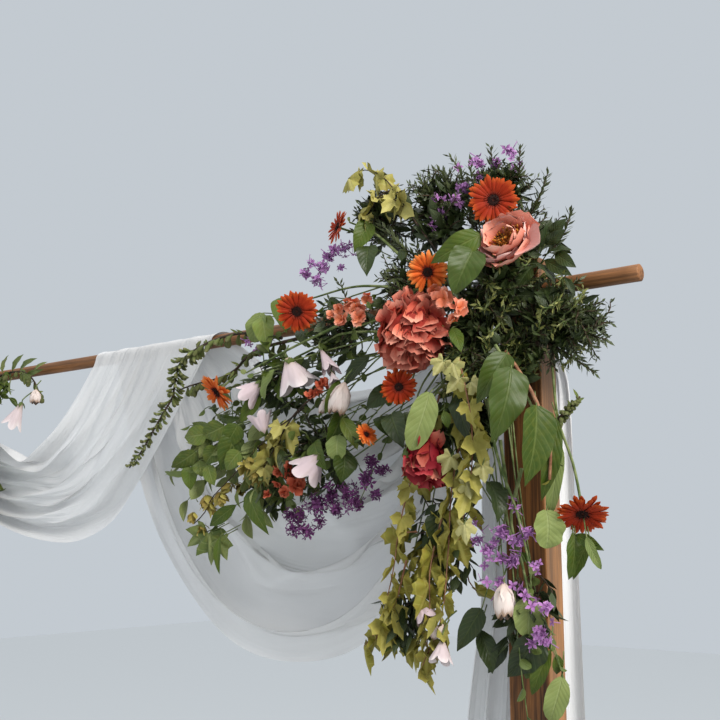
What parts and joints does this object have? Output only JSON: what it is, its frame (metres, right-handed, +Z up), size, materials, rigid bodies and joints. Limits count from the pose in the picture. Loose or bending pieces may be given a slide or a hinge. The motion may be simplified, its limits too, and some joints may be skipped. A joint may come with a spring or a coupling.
{
  "type": "wooden wedding arch",
  "caption": "Free-standing wooden wedding arch: a round pole on two posts with plank feet, draped with a swagged sheer cloth and dressed with a spray of artificial flowers at each corner.",
  "frame": {"origin": "on the ground, midway between the two posts", "axes": "+X along the pole to the right as seen from the front, +Y to the back, +Z up; the front faces -Y"},
  "size_m": [3, 0.9, 2.495],
  "materials": {
    "post_timber": "satin stain",
    "pole_wood": "satin stain",
    "steel": "zinc plated",
    "cloth": "sheer matt",
    "leaves": "matt",
    "trailing_leaves": "matt",
    "seed_heads": "matt",
    "gerbera_petals": "matt",
    "peony_petals": "matt"
  },
  "bodies": {
    "root": {"post_left": "post_timber", "post_right": "post_timber", "top_pole": "pole_wood", "pole_peg_left": "pole_wood", "pole_peg_right": "pole_wood", "foot_board_inner_left": "post_timber", "foot_board_outer_left": "post_timber", "foot_board_inner_right": "post_timber", "foot_board_outer_right": "post_timber", "foot_bolt_lower_left": "steel", "foot_bolt_upper_left": "steel", "foot_bolt_lower_right": "steel", "foot_bolt_upper_right": "steel", "drape_over_pole": "cloth", "drape_swag_left": "cloth", "drape_swag_right": "cloth", "drape_gather_left": "cloth", "drape_gather_right": "cloth", "drape_tail_left": "cloth", "drape_tail_right": "cloth", "foliage_crown_left": "leaves", "foliage_crown_right": "leaves", "foliage_sweep_left": "leaves", "foliage_sweep_right": "leaves", "foliage_fall_left": "trailing_leaves", "foliage_fall_right": "trailing_leaves", "seed_spike_left": "seed_heads", "seed_spike_right": "seed_heads", "peony_big_left": "peony_petals", "peony_big_right": "peony_petals", "peony_top_left": "peony_petals", "peony_top_right": "peony_petals", "peony_low_left": "peony_petals", "peony_low_right": "peony_petals", "gerbera_top_left": "gerbera_petals", "gerbera_top_right": "gerbera_petals", "gerbera_upper_left": "gerbera_petals", "gerbera_upper_right": "gerbera_petals", "gerbera_side_left": "gerbera_petals", "gerbera_side_right": "gerbera_petals", "gerbera_middle_left": "gerbera_petals", "gerbera_middle_right": "gerbera_petals", "gerbera_sweep_left": "gerbera_petals", "gerbera_sweep_right": "gerbera_petals", "gerbera_low_left": "gerbera_petals", "gerbera_low_right": "gerbera_petals"}
  },
  "joints": []
}
